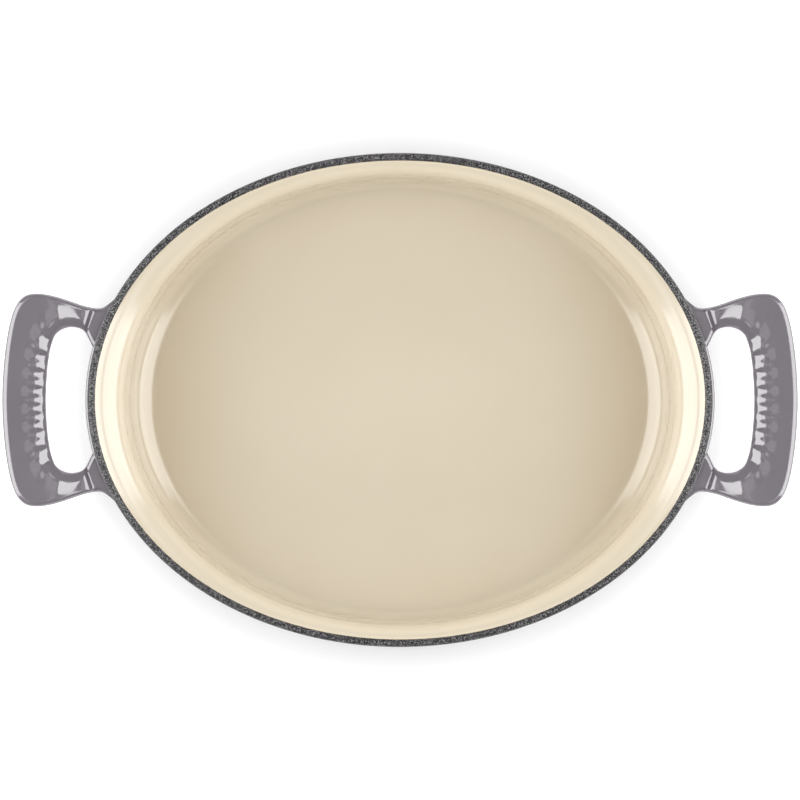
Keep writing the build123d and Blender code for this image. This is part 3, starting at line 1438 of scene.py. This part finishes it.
@dataclass(frozen=True)
class Studio:
    """The white floor, the cards overhead, the upright flags, the lamps and the camera.

    The floor glows white to the camera from glow_to outwards, and not at all within glow_from
    of its middle, where it keeps the dish's shadow.
    """

    floor_half: float = 6.0
    floor_colour: tuple[float, ...] = (0.86, 0.86, 0.86, 1.0)
    glow_from: float = 0.1
    glow_to: float = 0.2
    card_level: float = 2.4
    card_half: tuple[float, float] = (0.58, 2.5)
    scrim_half: tuple[float, float] = (0.4, 0.4)
    scrim_gap: float = 0.02
    flag_half: tuple[float, float] = (2.0, 1.2)
    flag_distance: float = 1.0
    black_tone: float = 0.02
    grey_tone: float = 0.4
    fill: float = 0.23
    camera_height: float = 1.5
    view_width: float = 0.3595
    sensor: float = 36.0
    clip_end: float = 30.0
    lamps: tuple[Softbox, ...] = (
        Softbox("left_softbox", (5.0, 74.5), (147.0, 210.0), 2.45),
        Softbox("right_softbox", (5.0, 74.5), (-30.0, 33.0), 2.45),
        Softbox("front_strip", (3.0, 32.0), (-135.0, -45.0), 2.4, 0.9, mirrored=False),
        Softbox("back_strip", (3.0, 32.0), (45.0, 135.0), 2.4, 0.9, mirrored=False),
    )

    def plane(self, name: str, half: tuple[float, float], level: float) -> bpy.types.Object:
        """Lay a level sheet of the studio.

        Args:
            name: Name of the sheet.
            half: Its half length and half width.
            level: Its level.

        Returns:
            The sheet.
        """
        signs = np.array(((-1, -1), (1, -1), (1, 1), (-1, 1)))
        corners = np.column_stack((signs * np.array(half), np.full(4, level)))
        sheet = make_mesh(name, corners, [(0, 1, 2, 3)])
        return sheet

    def floor(self) -> None:
        """Lay the white floor that the dish stands on."""
        sheet = self.plane("studio_floor", (self.floor_half, self.floor_half), 0.0)
        shader = Shader("white_floor")
        seen = Signal(shader, shader.node("ShaderNodeLightPath", {}, {}).outputs["Is Camera Ray"])
        along, across = shader.axis("X"), shader.axis("Y")
        away = (along * along + across * across).between(self.glow_from**2, self.glow_to**2)
        glow = shader.mix(seen * away, BLACK, WHITE)
        shader.set(Base_Color=self.floor_colour, Roughness=0.9, Specular_IOR_Level=0.1)
        shader.set(Emission_Color=glow, Emission_Strength=1.0)
        sheet.data.materials.append(shader.material)

    def flag(self, name: str, side: float) -> bpy.types.Object:
        """Stand a black sheet upright beside the dish, seen only in reflections.

        Args:
            name: Name of the sheet.
            side: The sign of Y on its side of the dish.

        Returns:
            The sheet.
        """
        sheet = self.plane(name, self.flag_half, 0.0)
        sheet.location = (0.0, side * self.flag_distance, self.flag_half[1])
        sheet.rotation_euler = (math.pi / 2, 0.0, 0.0)
        sheet.visible_camera = False
        sheet.visible_diffuse = False
        sheet.visible_shadow = False
        return sheet

    def cards(self) -> None:
        """Hang the black card and the smaller grey one under it, and stand up both flags."""
        black = self.plane("overhead_card", self.card_half, self.card_level)
        grey = self.plane("overhead_scrim", self.scrim_half, self.card_level - self.scrim_gap)
        front, back = self.flag("front_flag", -1.0), self.flag("back_flag", 1.0)
        for sheet in (black, grey, front, back):
            tone = self.grey_tone if sheet is grey else self.black_tone
            shader = Shader(sheet.name)
            shader.set(Base_Color=(tone, tone, tone, 1.0), Roughness=0.95, Specular_IOR_Level=0.0)
            sheet.data.materials.append(shader.material)

    def world(self) -> None:
        """Give a white backdrop to what is seen or mirrored, and a soft fill to the rest."""
        world = bpy.data.worlds.new("studio_air")
        bpy.context.scene.world = world
        world.use_nodes = True
        nodes, links = world.node_tree.nodes, world.node_tree.links
        background = nodes["Background"]
        background.inputs["Color"].default_value = WHITE
        path = nodes.new("ShaderNodeLightPath")
        total = path.outputs["Is Camera Ray"]
        for ray in ("Is Glossy Ray", "Is Transmission Ray"):
            either = nodes.new("ShaderNodeMath")
            either.operation = "MAXIMUM"
            links.new(total, either.inputs[0])
            links.new(path.outputs[ray], either.inputs[1])
            total = either.outputs[0]
        strength = nodes.new("ShaderNodeMapRange")
        strength.inputs["To Min"].default_value = self.fill
        links.new(total, strength.inputs["Value"])
        links.new(strength.outputs["Result"], background.inputs["Strength"])

    def camera(self, target_level: float) -> None:
        """Set up the camera straight above the dish, with the photograph's framing.

        Args:
            target_level: The level that the view's width is measured at.
        """
        data = bpy.data.cameras.new("camera")
        data.sensor_width = self.sensor
        data.lens = self.sensor * self.camera_height / self.view_width
        data.clip_end = self.clip_end
        holder = bpy.data.objects.new("camera", data)
        holder.location = (0.0, 0.0, target_level + self.camera_height)
        bpy.context.scene.collection.objects.link(holder)
        bpy.context.scene.camera = holder

    def build(self, target_level: float) -> None:
        """Put up the whole studio.

        Args:
            target_level: The level that the view's width is measured at.
        """
        self.floor()
        self.cards()
        self.world()
        for lamp in self.lamps:
            lamp.build()
        self.camera(target_level)
        bpy.context.scene.view_settings.view_transform = "Standard"


@dataclass
class GratinDish:
    """The whole dish: it makes the pieces, dresses them and ties them to the frame."""

    sizes: DishSizes

    def build(self) -> list[bpy.types.Object]:
        """Make every piece in order.

        Returns:
            The pieces, with the iron casting last.
        """
        coats = Bowl(self.sizes).build()
        handles = [LoopHandle(self.sizes, side).build() for side in Side]
        RootFillets(self.sizes).apply(coats[Zone.OUTSIDE], coats[Zone.RIM], handles)
        RootTrim(self.sizes).apply(handles)
        grey = GreyEnamel().material()
        dressed = {
            Zone.INSIDE: ([coats[Zone.INSIDE]], SandEnamel().material(self.sizes), "sand_enamel"),
            Zone.RIM: ([coats[Zone.RIM]], RimEnamel().material(), "rim_enamel"),
            Zone.OUTSIDE: ([coats[Zone.OUTSIDE], *handles], grey, "grey_enamel"),
            Zone.BASE: ([coats[Zone.BASE]], GroundCoat().material(), "base_enamel"),
        }
        for zone, (pieces, material, slot) in dressed.items():
            for piece in pieces:
                self.dress(piece, material)
                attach(piece, BODY)
                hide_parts(zone.value)
        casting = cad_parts["iron_casting"]
        self.dress(casting, CastIron().material())
        return [piece for pieces, _, _ in dressed.values() for piece in pieces] + [casting]

    @staticmethod
    def dress(piece: bpy.types.Object, material: bpy.types.Material) -> None:
        """Give a piece one material and no other."""
        piece.data.materials.clear()
        piece.data.materials.append(material)


def main() -> None:
    """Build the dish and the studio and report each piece."""
    logging.basicConfig(level=logging.INFO, format="%(name)s %(message)s")
    sizes = DishSizes.from_frame()
    for piece in GratinDish(sizes).build():
        finish = piece.data.materials[0].name
        log.info("%s: %d faces, finished in %s", piece.name, len(piece.data.polygons), finish)
    Studio().build(sizes.bead_level)


if __name__ == "__main__":
    main()
